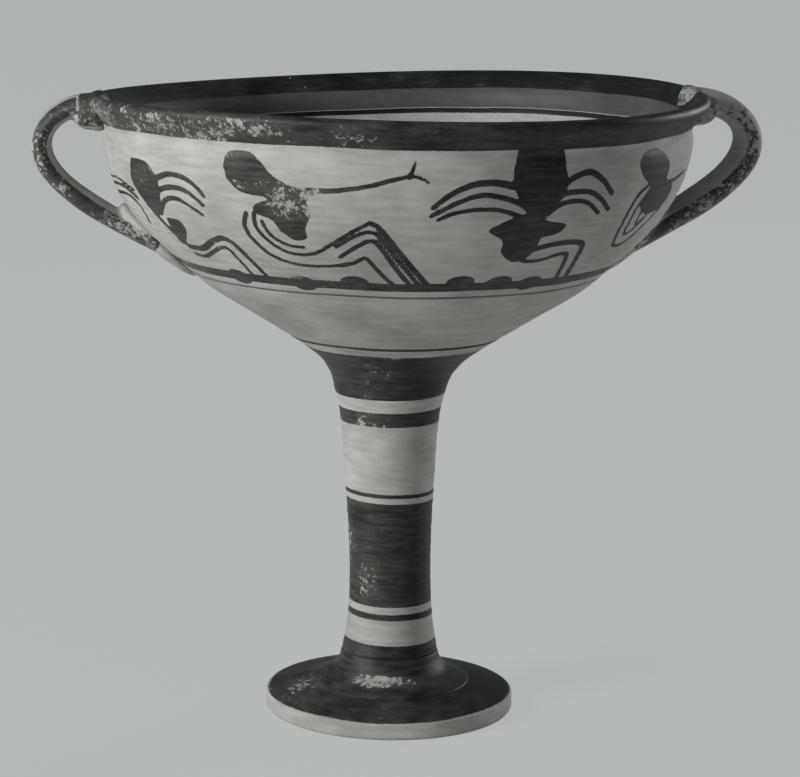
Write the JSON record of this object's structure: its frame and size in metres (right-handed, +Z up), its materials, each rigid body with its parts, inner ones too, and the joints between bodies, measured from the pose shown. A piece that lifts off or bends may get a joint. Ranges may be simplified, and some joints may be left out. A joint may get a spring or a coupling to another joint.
{
  "type": "footed bowl",
  "caption": "Tall footed bowl of painted fired clay: wide bowl with a rolled lip on a slim stem and disc foot, with upright strap handles at its sides.",
  "frame": {"origin": "on the ground, under the middle of the foot", "axes": "+Z up the stem, +X towards the right handle, +Y towards the back"},
  "size_m": [0.2276, 0.1906, 0.1988],
  "materials": {
    "painted_clay": "burnished fired clay with painted bands and a frieze in thin dark slip, worn",
    "foot_slip": "dark slip, streaky, chipped and speckled with wear, over fired clay",
    "handle_clay": "smoothed fired clay with worn dark slip along the strap",
    "luting_clay": "finger-smoothed clay over the joint, unpainted in places"
  },
  "bodies": {
    "root": {"foot_disc": "foot_slip", "stem": "painted_clay", "bowl": "painted_clay", "luting_stem_to_foot": "foot_slip", "luting_stem_to_bowl": "painted_clay", "handle_left": "handle_clay", "handle_right": "handle_clay", "luting_left_handle_to_rim": "luting_clay", "luting_left_handle_to_wall": "luting_clay", "luting_right_handle_to_rim": "luting_clay", "luting_right_handle_to_wall": "luting_clay"}
  },
  "joints": []
}
